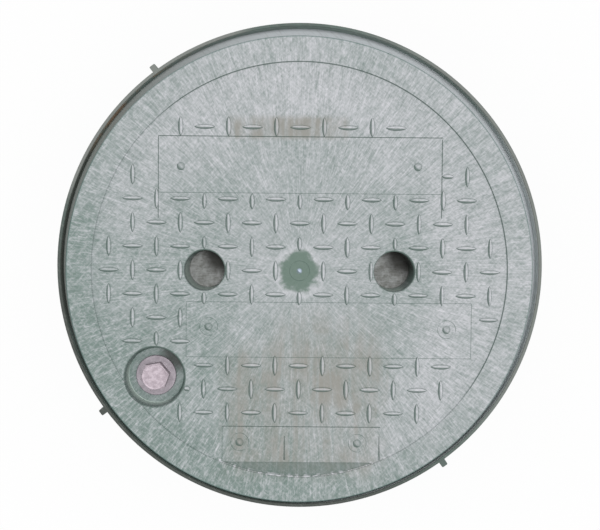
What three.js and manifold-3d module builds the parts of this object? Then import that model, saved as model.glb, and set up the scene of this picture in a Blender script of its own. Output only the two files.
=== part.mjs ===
// A round plastic utility-box cover seated in its frame ring and held down by one hex bolt.
// Millimetres, +Z up. The origin is the centre of the frame ring's flat bottom edge.
// Every piece is its own closed mesh: frame_ring, captive_nut, cover, bolt_washer, cover_bolt
// and bolt_keeper.

import * as THREE from 'three';
import { mergeVertices } from 'three/addons/utils/BufferGeometryUtils.js';
import Module from 'manifold-3d';

// ---- Driving dimensions: cover -------------------------------------------------------------
const COVER_RADIUS = 129.4;
const COVER_EDGE_THICKNESS = 8;
const COVER_EDGE_CHAMFER = 0.8;
const COVER_SHEET_THICKNESS = 6;
const COVER_SHIFT_X = -0.22;
const COVER_SHIFT_Y = -2.08;
const BAND_WIDTH = 14.1;
const TREAD_RECESS_DEPTH = 1.0;
const UNDERSIDE_DEPTH = 24;
const SKIRT_THICKNESS = 3.5;
const RIB_THICKNESS = 3;
const RIB_COUNT = 12;
const RING_RIB_RADIUS = 82;
const HUB_RADIUS = 13;

// ---- Driving dimensions: finger holes ------------------------------------------------------
const FINGER_HOLE_RADIUS = 11.15;
const FINGER_HOLE_DEPTH = 25.4;
const FINGER_HOLE_OFFSET = 52.6;
const FINGER_CUP_WALL = 3;

// ---- Driving dimensions: hold-down bolt ----------------------------------------------------
const BOLT_ANGLE_DEG = 216.7;
const BOLT_INSET = 29.4;
const BOLT_RADIUS = 4.76;
const BOLT_LENGTH = 38.1;
const BOLT_END_CHAMFER = 0.9;
const HEAD_ACROSS_FLATS = 14.3;
const HEAD_HEIGHT = 6.2;
const HEAD_CHAMFER_DROP = 1.1;
const HEAD_TURN_DEG = 10;
const BOLT_PAST_NUT = 3;
const BOLT_FREE_CLEARANCE = 0.6;
const WASHER_RADIUS = 11.35;
const WASHER_THICKNESS = 1.6;
const COUNTERBORE_RADIUS = 16.65;
const COUNTERBORE_DEPTH = 9.7;
const COUNTERBORE_FLOOR = 4;
const COUNTERBORE_WALL = 3;
const KEEPER_RADIUS = 8;
const KEEPER_THICKNESS = 1;

// ---- Driving dimensions: nut and its boss --------------------------------------------------
const NUT_WIDTH = 15.9;
const NUT_THICKNESS = 8.3;
const BOSS_WALL = 3.5;
const BOSS_ROOF = 4;
const BOSS_FLOOR = 4;

// ---- Driving dimensions: frame ring --------------------------------------------------------
const FRAME_HEIGHT = 76.2;
const FRAME_RIM_WALL = 1.8;
const FRAME_LOWER_WALL = 3;
const FRAME_RIM_CHAMFER = 0.4;
const LEDGE_WIDTH = 16.3;
const LEDGE_THICKNESS = 4;
const BEAD_WIDTH = 7;
const BEAD_HEIGHT = 5;
const GUSSET_COUNT = 16;
const GUSSET_HEIGHT = 18;
const GUSSET_THICKNESS = 3;
const GUSSET_SETBACK = 2;
const OUTER_RIB_TURNS_DEG = [-90, 0, 90];
const OUTER_RIB_WIDTH = 3.5;
const OUTER_RIB_PROUD = 3.3;

// ---- Named clearances ----------------------------------------------------------------------
const COVER_GAP = 2.85;
const SKIRT_GAP = 4.5;
const NOTCH_GAP = 2;
const BOLT_HOLE_GAP = 0.8;
const WASHER_BORE_GAP = 0.5;
const NUT_BORE_GAP = 0.35;
const KEEPER_BORE_GAP = 0.3;
const KEEPER_STOP_GAP = 0.5;
const NUT_SLOT_GAP = 0.3;

// ---- Smoothness of round shapes ------------------------------------------------------------
const LARGE_SEGMENTS = 96;
const MEDIUM_SEGMENTS = 48;
const SMALL_SEGMENTS = 32;
const JOIN_DEPTH = 0.5;
const CUT_MARGIN = 1;

// ---- Sizes that follow from the driving dimensions -----------------------------------------
const frameBore = COVER_RADIUS + COVER_GAP;
const frameOuterRadius = frameBore + FRAME_RIM_WALL;
const frameLowerBore = frameOuterRadius - FRAME_LOWER_WALL;
const coverTop = FRAME_HEIGHT;
const ledgeTop = coverTop - COVER_EDGE_THICKNESS;
const ledgeBottom = ledgeTop - LEDGE_THICKNESS;
const ledgeBore = frameBore - LEDGE_WIDTH;
const skirtRadius = ledgeBore - SKIRT_GAP;
const recessRadius = COVER_RADIUS - BAND_WIDTH;
const sheetBottom = coverTop - COVER_SHEET_THICKNESS;
const undersideBottom = coverTop - UNDERSIDE_DEPTH;
const boltCircleRadius = COVER_RADIUS - BOLT_INSET;
const counterboreFloorTop = coverTop - COUNTERBORE_DEPTH;
const counterboreFloorBottom = counterboreFloorTop - COUNTERBORE_FLOOR;
const boltCupRadius = COUNTERBORE_RADIUS + COUNTERBORE_WALL;
const headBottom = counterboreFloorTop + WASHER_THICKNESS;
const boltEnd = headBottom - BOLT_LENGTH;
const nutBottom = boltEnd + BOLT_PAST_NUT;
const nutTop = nutBottom + NUT_THICKNESS;
const boltRise = NUT_THICKNESS + BOLT_PAST_NUT + BOLT_FREE_CLEARANCE;
const keeperTop = counterboreFloorBottom - boltRise - KEEPER_STOP_GAP;
const nutSlotWidth = NUT_WIDTH + 2 * NUT_SLOT_GAP;
const bossRadius = nutSlotWidth / Math.SQRT2 + BOSS_WALL;
const bossTop = nutTop + BOSS_ROOF;
const bossBottom = nutBottom - BOSS_FLOOR;
const boltAngle = THREE.MathUtils.degToRad(BOLT_ANGLE_DEG);
const boltX = COVER_SHIFT_X + boltCircleRadius * Math.cos(boltAngle);
const boltY = COVER_SHIFT_Y + boltCircleRadius * Math.sin(boltAngle);
const nutDirection = Math.atan2(boltY, boltX);

// ---- Materials -----------------------------------------------------------------------------
const coverPlastic = new THREE.MeshStandardMaterial({ color: 0x9aa7a2, roughness: 0.75, metalness: 0 });
const framePlastic = new THREE.MeshStandardMaterial({ color: 0x4d6a60, roughness: 0.7, metalness: 0 });
const boltSteel = new THREE.MeshStandardMaterial({ color: 0xc6bcc4, roughness: 0.45, metalness: 0.9 });
const washerSteel = new THREE.MeshStandardMaterial({ color: 0xaaa3a8, roughness: 0.55, metalness: 0.9 });
const keeperSteel = new THREE.MeshStandardMaterial({ color: 0x8c8e90, roughness: 0.4, metalness: 1 });
const nutBrass = new THREE.MeshStandardMaterial({ color: 0xb08d4f, roughness: 0.4, metalness: 1 });

// ---- Solid helpers -------------------------------------------------------------------------
const wasm = await Module();
wasm.setup();

// A closed three.js geometry as a solid that can be joined and cut.
function solidFrom(geometry) {
  const bare = geometry.clone();
  bare.deleteAttribute('normal');
  bare.deleteAttribute('uv');
  const merged = mergeVertices(bare, 1e-4);
  const corners = merged.index.array;
  const kept = [];
  for (let i = 0; i < corners.length; i += 3) {
    const [a, b, c] = [corners[i], corners[i + 1], corners[i + 2]];
    if (a !== b && b !== c && c !== a) kept.push(a, b, c);
  }
  return new wasm.Manifold(new wasm.Mesh({
    numProp: 3,
    vertProperties: Float32Array.from(merged.attributes.position.array),
    triVerts: Uint32Array.from(kept),
  }));
}

// A named mesh from a finished solid.
function meshFrom(solid, name, material) {
  const { vertProperties, triVerts } = solid.getMesh();
  const geometry = new THREE.BufferGeometry();
  geometry.setAttribute('position', new THREE.BufferAttribute(vertProperties, 3));
  geometry.setIndex(new THREE.BufferAttribute(triVerts, 1));
  geometry.computeVertexNormals();
  const mesh = new THREE.Mesh(geometry, material);
  mesh.name = name;
  return mesh;
}

function joined(solids) {
  return solids.reduce((whole, next) => whole.add(next));
}

// An upright cylinder between two heights.
function cylinder(radius, bottom, top, x, y, segments) {
  const geometry = new THREE.CylinderGeometry(radius, radius, top - bottom, segments);
  geometry.rotateX(Math.PI / 2);
  geometry.translate(x, y, (bottom + top) / 2);
  return solidFrom(geometry);
}

// A profile of [radius, height] points turned about the Z axis. A profile that doesn't start
// and end on the axis closes on itself.
function turned(profile, segments) {
  const points = profile.map(([radius, height]) => new THREE.Vector2(radius, height));
  const onAxis = points[0].x === 0;
  if (!onAxis) points.push(points[0].clone());
  const geometry = new THREE.LatheGeometry(points, segments);
  geometry.rotateX(Math.PI / 2);
  return solidFrom(geometry);
}

// A bar that runs outwards from one radius to another at an angle about the Z axis.
function radialBar(innerRadius, outerRadius, width, bottom, top, angle) {
  const geometry = new THREE.BoxGeometry(outerRadius - innerRadius, width, top - bottom);
  geometry.translate((innerRadius + outerRadius) / 2, 0, (bottom + top) / 2);
  geometry.rotateZ(angle);
  return solidFrom(geometry);
}

// A flat fin whose [radius, height] outline stands in the radial plane at an angle.
function radialFin(outline, thickness, angle) {
  const shape = new THREE.Shape(outline.map(([radius, height]) => new THREE.Vector2(radius, height)));
  const geometry = new THREE.ExtrudeGeometry(shape, { depth: thickness, bevelEnabled: false });
  geometry.translate(0, 0, -thickness / 2);
  geometry.rotateX(Math.PI / 2);
  geometry.rotateZ(angle);
  return solidFrom(geometry);
}

// ---- Frame ring ----------------------------------------------------------------------------
function frameShell() {
  return turned([
    [frameOuterRadius - BEAD_WIDTH, 0],
    [frameOuterRadius, 0],
    [frameOuterRadius, FRAME_HEIGHT - FRAME_RIM_CHAMFER],
    [frameOuterRadius - FRAME_RIM_CHAMFER, FRAME_HEIGHT],
    [frameBore + FRAME_RIM_CHAMFER, FRAME_HEIGHT],
    [frameBore, FRAME_HEIGHT - FRAME_RIM_CHAMFER],
    [frameBore, ledgeTop],
    [ledgeBore, ledgeTop],
    [ledgeBore, ledgeBottom],
    [frameLowerBore, ledgeBottom],
    [frameLowerBore, BEAD_HEIGHT],
    [frameOuterRadius - BEAD_WIDTH, BEAD_HEIGHT],
  ], LARGE_SEGMENTS);
}

// Three upright ribs on the outside, the middle one in line with the bolt.
function outerRibs() {
  return OUTER_RIB_TURNS_DEG.map((turn) => {
    const angle = boltAngle + THREE.MathUtils.degToRad(turn);
    return radialBar(frameOuterRadius - JOIN_DEPTH, frameOuterRadius + OUTER_RIB_PROUD,
      OUTER_RIB_WIDTH, 0, FRAME_HEIGHT, angle);
  });
}

// Gussets carry the ledge; none stands where the bolt boss is.
function ledgeGussets() {
  const gussets = [];
  for (let i = 1; i < GUSSET_COUNT; i += 1) {
    const angle = nutDirection + (2 * Math.PI * i) / GUSSET_COUNT;
    const outline = [
      [ledgeBore + GUSSET_SETBACK, ledgeBottom + JOIN_DEPTH],
      [frameLowerBore + JOIN_DEPTH, ledgeBottom - GUSSET_HEIGHT],
      [frameLowerBore + JOIN_DEPTH, ledgeBottom + JOIN_DEPTH],
    ];
    gussets.push(radialFin(outline, GUSSET_THICKNESS, angle));
  }
  return gussets;
}

// The boss reaches in from the wall to stand under the bolt.
function boltBoss() {
  const boltDistance = Math.hypot(boltX, boltY);
  const column = cylinder(bossRadius, bossBottom, bossTop, boltX, boltY, MEDIUM_SEGMENTS);
  const arm = radialBar(boltDistance, frameLowerBore + JOIN_DEPTH, 2 * bossRadius,
    bossBottom, bossTop, nutDirection);
  return column.add(arm);
}

// The nut slides into its slot from the middle of the ring.
function nutSlot() {
  const boltDistance = Math.hypot(boltX, boltY);
  return radialBar(boltDistance - bossRadius - CUT_MARGIN, boltDistance + nutSlotWidth / 2,
    nutSlotWidth, nutBottom, nutTop + NUT_SLOT_GAP, nutDirection);
}

function buildFrameRing() {
  const body = joined([frameShell(), ...outerRibs(), ...ledgeGussets(), boltBoss()]);
  const cupNotch = cylinder(boltCupRadius + NOTCH_GAP, ledgeBottom - GUSSET_HEIGHT, ledgeTop + CUT_MARGIN,
    boltX, boltY, MEDIUM_SEGMENTS);
  const boltBore = cylinder(BOLT_RADIUS + BOLT_HOLE_GAP, bossBottom - CUT_MARGIN, bossTop + CUT_MARGIN,
    boltX, boltY, SMALL_SEGMENTS);
  return body.subtract(cupNotch).subtract(boltBore).subtract(nutSlot());
}

// ---- Captive nut ---------------------------------------------------------------------------
function buildCaptiveNut() {
  const boltDistance = Math.hypot(boltX, boltY);
  const block = radialBar(boltDistance - NUT_WIDTH / 2, boltDistance + NUT_WIDTH / 2, NUT_WIDTH,
    nutBottom, nutTop, nutDirection);
  const bore = cylinder(BOLT_RADIUS + NUT_BORE_GAP, nutBottom - CUT_MARGIN, nutTop + CUT_MARGIN,
    boltX, boltY, SMALL_SEGMENTS);
  return block.subtract(bore);
}

// ---- Cover ---------------------------------------------------------------------------------
function coverShell() {
  return turned([
    [0, sheetBottom],
    [skirtRadius - SKIRT_THICKNESS, sheetBottom],
    [skirtRadius - SKIRT_THICKNESS, undersideBottom],
    [skirtRadius, undersideBottom],
    [skirtRadius, ledgeTop],
    [COVER_RADIUS, ledgeTop],
    [COVER_RADIUS, coverTop - COVER_EDGE_CHAMFER],
    [COVER_RADIUS - COVER_EDGE_CHAMFER, coverTop],
    [recessRadius, coverTop],
    [recessRadius - TREAD_RECESS_DEPTH, coverTop - TREAD_RECESS_DEPTH],
    [0, coverTop - TREAD_RECESS_DEPTH],
  ], LARGE_SEGMENTS);
}

function coverRibs() {
  const ribs = [];
  for (let i = 0; i < RIB_COUNT; i += 1) {
    const angle = (2 * Math.PI * i) / RIB_COUNT;
    ribs.push(radialBar(0, skirtRadius - JOIN_DEPTH, RIB_THICKNESS, undersideBottom,
      sheetBottom + JOIN_DEPTH, angle));
  }
  const ring = turned([
    [RING_RIB_RADIUS - RIB_THICKNESS / 2, undersideBottom],
    [RING_RIB_RADIUS + RIB_THICKNESS / 2, undersideBottom],
    [RING_RIB_RADIUS + RIB_THICKNESS / 2, sheetBottom + JOIN_DEPTH],
    [RING_RIB_RADIUS - RIB_THICKNESS / 2, sheetBottom + JOIN_DEPTH],
  ], LARGE_SEGMENTS);
  const hub = cylinder(HUB_RADIUS, undersideBottom, sheetBottom + JOIN_DEPTH, 0, 0, MEDIUM_SEGMENTS);
  return [...ribs, ring, hub];
}

// Two blind cups to lift the cover by.
function cutFingerCups(cover) {
  const cupFloor = coverTop - FINGER_HOLE_DEPTH;
  let result = cover;
  for (const x of [-FINGER_HOLE_OFFSET, FINGER_HOLE_OFFSET]) {
    const cup = cylinder(FINGER_HOLE_RADIUS + FINGER_CUP_WALL, cupFloor - FINGER_CUP_WALL,
      sheetBottom + JOIN_DEPTH, x, 0, MEDIUM_SEGMENTS);
    const hole = cylinder(FINGER_HOLE_RADIUS, cupFloor, coverTop + CUT_MARGIN, x, 0, MEDIUM_SEGMENTS);
    result = result.add(cup).subtract(hole);
  }
  return result;
}

// A sunken seat for the bolt head, with an open cup below its floor for the keeper.
function cutBoltCup(cover) {
  const x = boltX - COVER_SHIFT_X;
  const y = boltY - COVER_SHIFT_Y;
  const cup = cylinder(boltCupRadius, undersideBottom, sheetBottom + JOIN_DEPTH, x, y, MEDIUM_SEGMENTS);
  const upper = cylinder(COUNTERBORE_RADIUS, counterboreFloorTop, coverTop + CUT_MARGIN, x, y, MEDIUM_SEGMENTS);
  const lower = cylinder(COUNTERBORE_RADIUS, undersideBottom - CUT_MARGIN, counterboreFloorBottom,
    x, y, MEDIUM_SEGMENTS);
  const bore = cylinder(BOLT_RADIUS + BOLT_HOLE_GAP, counterboreFloorBottom - CUT_MARGIN,
    counterboreFloorTop + CUT_MARGIN, x, y, SMALL_SEGMENTS);
  return cover.add(cup).subtract(upper).subtract(lower).subtract(bore);
}

function buildCover() {
  const blank = joined([coverShell(), ...coverRibs()]);
  return cutBoltCup(cutFingerCups(blank));
}

// ---- Bolt, washer and keeper ---------------------------------------------------------------
function flatRing(innerRadius, outerRadius, bottom, top) {
  const disc = cylinder(outerRadius, bottom, top, 0, 0, SMALL_SEGMENTS);
  return disc.subtract(cylinder(innerRadius, bottom - CUT_MARGIN, top + CUT_MARGIN, 0, 0, SMALL_SEGMENTS));
}

function buildCoverBolt() {
  const cornerRadius = HEAD_ACROSS_FLATS / Math.sqrt(3);
  const headTop = headBottom + HEAD_HEIGHT;
  const hexagon = new THREE.CylinderGeometry(cornerRadius, cornerRadius, HEAD_HEIGHT, 6);
  hexagon.rotateX(Math.PI / 2);
  hexagon.rotateZ(THREE.MathUtils.degToRad(HEAD_TURN_DEG));
  hexagon.translate(0, 0, headBottom + HEAD_HEIGHT / 2);
  const chamfer = turned([
    [0, headBottom - CUT_MARGIN],
    [cornerRadius + CUT_MARGIN, headBottom - CUT_MARGIN],
    [cornerRadius + CUT_MARGIN, headTop - HEAD_CHAMFER_DROP],
    [HEAD_ACROSS_FLATS / 2, headTop],
    [0, headTop],
  ], SMALL_SEGMENTS);
  const shank = turned([
    [0, boltEnd],
    [BOLT_RADIUS - BOLT_END_CHAMFER, boltEnd],
    [BOLT_RADIUS, boltEnd + BOLT_END_CHAMFER],
    [BOLT_RADIUS, headBottom + JOIN_DEPTH],
    [0, headBottom + JOIN_DEPTH],
  ], SMALL_SEGMENTS);
  return solidFrom(hexagon).intersect(chamfer).add(shank);
}

// ---- Assembly ------------------------------------------------------------------------------
const frameRing = meshFrom(buildFrameRing(), 'frame_ring', framePlastic);
const captiveNut = meshFrom(buildCaptiveNut(), 'captive_nut', nutBrass);

const coverMesh = meshFrom(buildCover(), 'cover', coverPlastic);
coverMesh.position.set(COVER_SHIFT_X, COVER_SHIFT_Y, 0);

const boltWasher = meshFrom(
  flatRing(BOLT_RADIUS + WASHER_BORE_GAP, WASHER_RADIUS, counterboreFloorTop, headBottom),
  'bolt_washer', washerSteel);
const coverBolt = meshFrom(buildCoverBolt(), 'cover_bolt', boltSteel);
const boltKeeper = meshFrom(
  flatRing(BOLT_RADIUS + KEEPER_BORE_GAP, KEEPER_RADIUS, keeperTop - KEEPER_THICKNESS, keeperTop),
  'bolt_keeper', keeperSteel);

const boltStack = new THREE.Group();
boltStack.position.set(boltX, boltY, 0);
boltStack.add(boltWasher, coverBolt, boltKeeper);

const group = new THREE.Group();
group.add(frameRing, captiveNut, coverMesh, boltStack);

export default group;
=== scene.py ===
# %% [markdown]
# # A round plastic access cover in its frame ring
# The object is a moulded lid for an underground utility box. It sits on a ledge inside a short
# ring and one hex bolt holds it down. The mechanical model gives every size and place, and this
# notebook makes the surfaces: worn grey-green plastic, a tread of small raised bars, the traces
# that mould inserts leave, dirt in the gap, and a dull steel bolt.

# %% Load the mechanical frame
import math

import bpy
import bmesh
from mathutils import Matrix, Vector


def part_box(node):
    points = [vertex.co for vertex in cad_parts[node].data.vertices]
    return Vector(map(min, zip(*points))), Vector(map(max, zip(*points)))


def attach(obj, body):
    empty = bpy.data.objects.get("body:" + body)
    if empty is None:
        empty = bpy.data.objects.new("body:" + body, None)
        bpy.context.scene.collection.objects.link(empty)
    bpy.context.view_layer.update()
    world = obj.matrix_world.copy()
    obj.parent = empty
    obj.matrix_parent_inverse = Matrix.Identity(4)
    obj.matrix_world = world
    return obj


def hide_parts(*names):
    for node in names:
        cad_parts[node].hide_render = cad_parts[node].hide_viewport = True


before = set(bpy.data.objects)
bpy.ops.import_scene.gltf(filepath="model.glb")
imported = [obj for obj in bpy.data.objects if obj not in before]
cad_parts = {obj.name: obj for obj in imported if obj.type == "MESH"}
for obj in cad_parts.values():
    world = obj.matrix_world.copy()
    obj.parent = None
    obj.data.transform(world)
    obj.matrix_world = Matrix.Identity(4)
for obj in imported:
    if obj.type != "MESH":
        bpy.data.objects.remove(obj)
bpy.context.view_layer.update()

MM = 0.001

# %% [markdown]
# ## Places
# Everything is placed from the boxes of the mechanical nodes, so a change there moves the looks
# too. The cover's own centre is not the ring's: it lies about two millimetres towards -Y.

# %% Places read from the frame
ring_low, ring_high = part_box("frame_ring")
cover_low, cover_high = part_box("cover")
washer_low, washer_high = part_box("bolt_washer")
bolt_low, bolt_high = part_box("cover_bolt")
nut_low, nut_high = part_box("captive_nut")
RING_RADIUS = (ring_high.x - ring_low.x) / 2
RING_TOP = ring_high.z
COVER_RADIUS = (cover_high.x - cover_low.x) / 2
COVER_TOP = cover_high.z
COVER_CENTRE = Vector(((cover_low.x + cover_high.x) / 2, (cover_low.y + cover_high.y) / 2, 0))
BOLT_AXIS = Vector(((washer_low.x + washer_high.x) / 2, (washer_low.y + washer_high.y) / 2, 0))
BOLT_FROM_COVER = BOLT_AXIS - COVER_CENTRE
BOLT_ANGLE = math.atan2(BOLT_FROM_COVER.y, BOLT_FROM_COVER.x)
NUT_ANGLE = math.atan2(BOLT_AXIS.y, BOLT_AXIS.x)
BOLT_DISTANCE = BOLT_AXIS.length
print("cover centre", COVER_CENTRE, "radius", COVER_RADIUS, "bolt axis", BOLT_AXIS)

# %% [markdown]
# ## Camera
# The camera looks almost straight down from a little over half a metre. A view along -Z has no
# natural "up", so the camera's axes are built by hand from the viewing line and a turned +Y.

# %% Camera
SENSOR_WIDTH = 36.0
LENS = 58.7
EYE = Vector((-2.0, 23.4, 0)) * MM + Vector((0, 0, COVER_TOP + 540.5 * MM))
AIM = Vector((0.1, 1.3, 0)) * MM + Vector((0, 0, COVER_TOP))
ROLL = math.radians(-0.49)


def aim_camera(eye, aim, roll):
    backwards = (eye - aim).normalized()
    rough_up = Vector((math.sin(roll), math.cos(roll), 0))
    right = rough_up.cross(backwards).normalized()
    up = backwards.cross(right)
    turn = Matrix((right, up, backwards)).transposed()
    return Matrix.Translation(eye) @ turn.to_4x4()


camera_data = bpy.data.cameras.new("camera")
camera_data.sensor_width = SENSOR_WIDTH
camera_data.lens = LENS
camera_data.clip_start = 0.01
camera = bpy.data.objects.new("camera", camera_data)
camera.matrix_world = aim_camera(EYE, AIM, ROLL)
bpy.context.scene.collection.objects.link(camera)
bpy.context.scene.camera = camera
print("camera", [round(value, 3) for value in EYE])

# %% [markdown]
# ## Node helpers
# Short functions that make one node each and give back its output, so that a material reads as a
# list of steps.

# %% Node helpers


def plug(tree, made, inputs):
    for key, value in inputs.items():
        if isinstance(value, bpy.types.NodeSocket):
            tree.links.new(value, made.inputs[key])
        else:
            made.inputs[key].default_value = value
    return made


def add(tree, kind, inputs=None, **settings):
    """One node in a tree. inputs maps a socket's name or number to a value or to an output."""
    made = tree.nodes.new(kind)
    for name, value in settings.items():
        setattr(made, name, value)
    return plug(tree, made, inputs or {})


def math_out(tree, operation, first, second=0.0, clamp=False):
    made = add(tree, "ShaderNodeMath", {0: first, 1: second}, operation=operation, use_clamp=clamp)
    return made.outputs[0]


def vector_out(tree, operation, first, second=None):
    """A vector operation; length and dot product give their number, the others their vector."""
    inputs = {0: first} if second is None else {0: first, 1: second}
    made = add(tree, "ShaderNodeVectorMath", inputs, operation=operation)
    return made.outputs["Value" if operation in ("LENGTH", "DOT_PRODUCT") else "Vector"]


def ramp_out(tree, value, low, high, to_low=0.0, to_high=1.0):
    """The value's place between low and high, clamped, smoothed and brought to another range."""
    made = add(tree, "ShaderNodeMapRange", {0: value, 1: low, 2: high, 3: to_low, 4: to_high},
               interpolation_type="SMOOTHSTEP")
    return made.outputs[0]


def mix_out(tree, share, first, second):
    made = add(tree, "ShaderNodeMix", {0: share, 6: first, 7: second}, data_type="RGBA")
    return made.outputs[2]


def share_of(tree, mask, amount):
    return math_out(tree, "MULTIPLY", mask, amount)


def place_group(tree, group, inputs):
    made = tree.nodes.new("ShaderNodeGroup")
    made.node_tree = group
    return plug(tree, made, inputs).outputs[0]


def new_group(name, inputs, output):
    """An empty node group with named inputs (label, kind, default) and one output."""
    group = bpy.data.node_groups.new(name, "ShaderNodeTree")
    for label, kind, value in inputs:
        made = group.interface.new_socket(label, in_out="INPUT", socket_type="NodeSocket" + kind)
        if value is not None:
            made.default_value = value
    group.interface.new_socket(output, in_out="OUTPUT", socket_type="NodeSocketFloat")
    return group, group.nodes.new("NodeGroupInput").outputs, group.nodes.new("NodeGroupOutput").inputs[0]


# %% [markdown]
# ## Light, floor and background
# Soft sky light fills the scene and one wide sun stands high on the upper right, so that the
# raised bars get a bright and a dark side. Both together give a level surface the light at which
# a colour renders about as it is written. White behind the object comes from Light Path, not
# from more light.

# %% Light and background
SUN_AZIMUTH = math.radians(48)
SUN_ELEVATION = math.radians(82)
SUN_STRENGTH = 1.35
SUN_SPREAD = math.radians(16)
SKY_STRENGTH = 0.6
FLOOR_SIZE = 6.0
FLOOR_SHADOW_SHARE = 0.12

scene = bpy.context.scene
scene.view_settings.view_transform = "Standard"


def seen_directly(tree):
    """1 for camera, mirror and glass rays, 0 for the light that falls on the object."""
    path = add(tree, "ShaderNodeLightPath").outputs
    mirrored = math_out(tree, "MAXIMUM", path["Is Camera Ray"], path["Is Glossy Ray"])
    return math_out(tree, "MAXIMUM", mirrored, path["Is Transmission Ray"])


world = bpy.data.worlds.new("sky")
scene.world = world
world.use_nodes = True
sky_tree = world.node_tree
sky_tree.nodes.clear()
sky = add(sky_tree, "ShaderNodeBackground", {0: (1, 1, 1, 1), 1: SKY_STRENGTH})
white = add(sky_tree, "ShaderNodeBackground", {0: (1, 1, 1, 1), 1: 1.0})
mixed = add(sky_tree, "ShaderNodeMixShader",
            {0: seen_directly(sky_tree), 1: sky.outputs[0], 2: white.outputs[0]})
add(sky_tree, "ShaderNodeOutputWorld", {0: mixed.outputs[0]})

sun_data = bpy.data.lights.new("sun", "SUN")
sun_data.energy = SUN_STRENGTH
sun_data.angle = SUN_SPREAD
sun = bpy.data.objects.new("sun", sun_data)
sun.rotation_euler = (math.pi / 2 - SUN_ELEVATION, 0, SUN_AZIMUTH + math.pi / 2)
scene.collection.objects.link(sun)

floor_mesh = bpy.data.meshes.new("floor")
floor_corners = [(x * FLOOR_SIZE / 2, y * FLOOR_SIZE / 2, ring_low.z)
                 for x, y in ((-1, -1), (1, -1), (1, 1), (-1, 1))]
floor_mesh.from_pydata(floor_corners, [], [(0, 1, 2, 3)])
floor = bpy.data.objects.new("floor", floor_mesh)
scene.collection.objects.link(floor)
floor_paint = bpy.data.materials.new("floor_paint")
floor_paint.use_nodes = True
floor_tree = floor_paint.node_tree
floor_tree.nodes.clear()
matt = add(floor_tree, "ShaderNodeBsdfDiffuse", {0: (0.95, 0.95, 0.95, 1)})
glow = add(floor_tree, "ShaderNodeEmission", {0: (1, 1, 1, 1), 1: 1.0})
glow_share = share_of(floor_tree, seen_directly(floor_tree), 1 - FLOOR_SHADOW_SHARE)
blended = add(floor_tree, "ShaderNodeMixShader", {0: glow_share, 1: matt.outputs[0], 2: glow.outputs[0]})
add(floor_tree, "ShaderNodeOutputMaterial", {0: blended.outputs[0]})
floor_mesh.materials.append(floor_paint)
level_light = SKY_STRENGTH + SUN_STRENGTH * math.sin(SUN_ELEVATION) / math.pi
print("light on a level surface", round(level_light, 3))

# %% [markdown]
# ## Shared patterns
# Effects that appear in more than one finish are node groups with named inputs.
# *Radial strokes* are the short fine lines that melt leaves as it runs out from the gate.
# *Fibre scratches* are short straight scuffs at a given angle. *Blotches* are soft stains.
# *Soft box* marks a rectangle, for dust that lies in one place. *Sun side* is 1 where a surface
# faces the sun's side and 0 where it faces away; the finishes paint light and shade with it.

# %% Pattern groups


def build_radial_strokes():
    group, given, out = new_group(
        "Radial strokes",
        [("Vector", "Vector", None), ("Round per radian", "Float", 130.0),
         ("Outwards per metre", "Float", 160.0)],
        "Stroke")
    flat = vector_out(group, "MULTIPLY", given["Vector"], (1, 1, 0))
    around = add(group, "ShaderNodeVectorMath",
                 {0: vector_out(group, "NORMALIZE", flat), 3: given["Round per radian"]},
                 operation="SCALE").outputs[0]
    outwards = math_out(group, "MULTIPLY", vector_out(group, "LENGTH", flat), given["Outwards per metre"])
    along = add(group, "ShaderNodeCombineXYZ", {2: outwards}).outputs[0]
    noise = add(group, "ShaderNodeTexNoise",
                {"Vector": vector_out(group, "ADD", around, along), "Scale": 1.0, "Detail": 3.0,
                 "Roughness": 0.6, "Distortion": 0.7})
    group.links.new(noise.outputs[0], out)
    return group


def build_fibre_scratches():
    group, given, out = new_group(
        "Fibre scratches",
        [("Vector", "Vector", None), ("Turn", "Float", 0.0), ("Across per metre", "Float", 1100.0),
         ("Along per metre", "Float", 150.0)],
        "Fibre")
    turned_place = add(group, "ShaderNodeVectorRotate", {"Vector": given["Vector"], "Angle": given["Turn"]},
                       rotation_type="Z_AXIS").outputs[0]
    size = add(group, "ShaderNodeCombineXYZ",
               {0: given["Along per metre"], 1: given["Across per metre"],
                2: given["Across per metre"]}).outputs[0]
    place = vector_out(group, "MULTIPLY", turned_place, size)
    noise = add(group, "ShaderNodeTexNoise",
                {"Vector": place, "Scale": 1.0, "Detail": 2.0, "Roughness": 0.55, "Distortion": 0.5})
    group.links.new(noise.outputs[0], out)
    return group


def build_blotches():
    group, given, out = new_group(
        "Blotches",
        [("Vector", "Vector", None), ("Per metre", "Float", 30.0), ("Low", "Float", 0.35),
         ("High", "Float", 0.65)],
        "Stain")
    noise = add(group, "ShaderNodeTexNoise",
                {"Vector": given["Vector"], "Scale": given["Per metre"], "Detail": 5.0, "Roughness": 0.62,
                 "Distortion": 0.3})
    group.links.new(ramp_out(group, noise.outputs[0], given["Low"], given["High"]), out)
    return group


def build_soft_box():
    group, given, out = new_group(
        "Soft box",
        [("Vector", "Vector", None), ("Centre", "Vector", (0.0, 0.0, 0.0)),
         ("Half size", "Vector", (0.01, 0.01, 0.01)), ("Softness", "Float", 0.005)],
        "Inside")
    away = vector_out(group, "ABSOLUTE", vector_out(group, "SUBTRACT", given["Vector"], given["Centre"]))
    past_edge = vector_out(group, "SUBTRACT", away, given["Half size"])
    beyond = add(group, "ShaderNodeSeparateXYZ", {0: past_edge}).outputs
    inside_x = ramp_out(group, beyond[0], given["Softness"], 0.0)
    inside_y = ramp_out(group, beyond[1], given["Softness"], 0.0)
    group.links.new(math_out(group, "MULTIPLY", inside_x, inside_y), out)
    return group


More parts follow.
